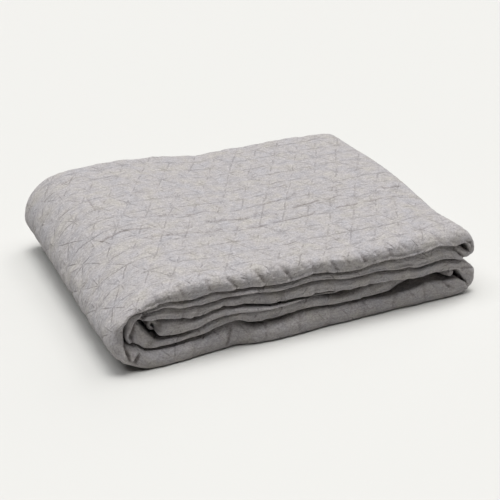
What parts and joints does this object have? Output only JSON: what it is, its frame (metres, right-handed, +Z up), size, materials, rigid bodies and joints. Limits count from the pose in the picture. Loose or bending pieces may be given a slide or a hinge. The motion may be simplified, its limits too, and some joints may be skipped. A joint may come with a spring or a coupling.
{
  "type": "quilted bedspread",
  "caption": "Quilted bedspread folded into a flat rectangular parcel of stacked layers, resting on its base.",
  "frame": {"origin": "under the middle of the folded parcel's box, on the surface it lies on", "axes": "+X along the parcel's longest side, from the wrapped left end to the right end with the two fold loops; +Y from the open front side, where the stacked folds show, to the back; +Z up"},
  "size_m": [0.5178, 0.384, 0.1127],
  "materials": {
    "quilted_cloth": "washed heathered grey weave, matt"
  },
  "bodies": {
    "root": {"bedspread": "quilted_cloth"}
  },
  "joints": []
}
